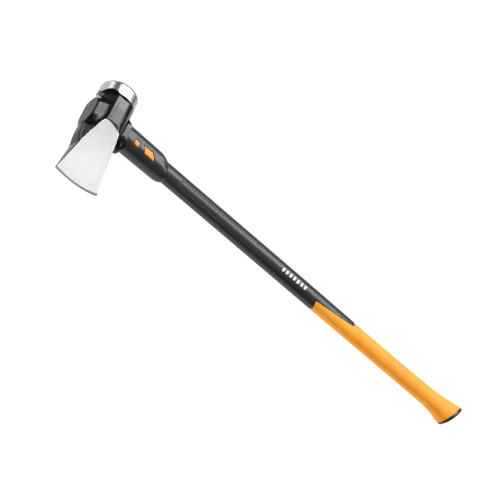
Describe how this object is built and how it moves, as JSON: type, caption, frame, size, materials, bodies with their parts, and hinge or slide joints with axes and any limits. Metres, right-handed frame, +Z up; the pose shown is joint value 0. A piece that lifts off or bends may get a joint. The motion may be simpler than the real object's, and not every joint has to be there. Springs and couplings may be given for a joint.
{
  "type": "splitting maul",
  "caption": "Long-handled splitting maul: forged wedge head with a round hammer poll, oval composite shaft with an over-strike collar, flared soft grip.",
  "frame": {"origin": "bottom centre of the object's box, with the maul lying on its cheek", "axes": "+X runs along the handle from head to grip, +Y from the cutting edge toward the poll's striking face, +Z up out of the upper cheek"},
  "size_m": [0.9235, 0.2066, 0.07],
  "materials": {
    "forging": "black painted forging; ground bare steel on the wedge faces and turned poll",
    "plug": "matte",
    "bond": "cured adhesive",
    "sleeve": "moulded",
    "core": "pultruded glass fibre",
    "damping": "soft elastomer",
    "shell": "satin black",
    "buffer": "soft elastomer",
    "collar": "satin black, slightly textured",
    "inlay": "orange",
    "grip": "soft orange, matte",
    "grip_core": "moulded",
    "cap": "black"
  },
  "bodies": {
    "root": {"head": "forging", "crown_plug": "plug", "eye_bond": "bond", "eye_sleeve": "sleeve", "core_rod": "core", "damping_layer": "damping", "shaft_shell": "shell", "collar_buffer": "buffer", "strike_collar": "collar", "inlay_small_near": "inlay", "inlay_small_far": "inlay", "inlay_large_near": "inlay", "inlay_large_far": "inlay", "grip": "grip", "grip_core": "grip_core", "end_cap": "cap"}
  },
  "joints": []
}
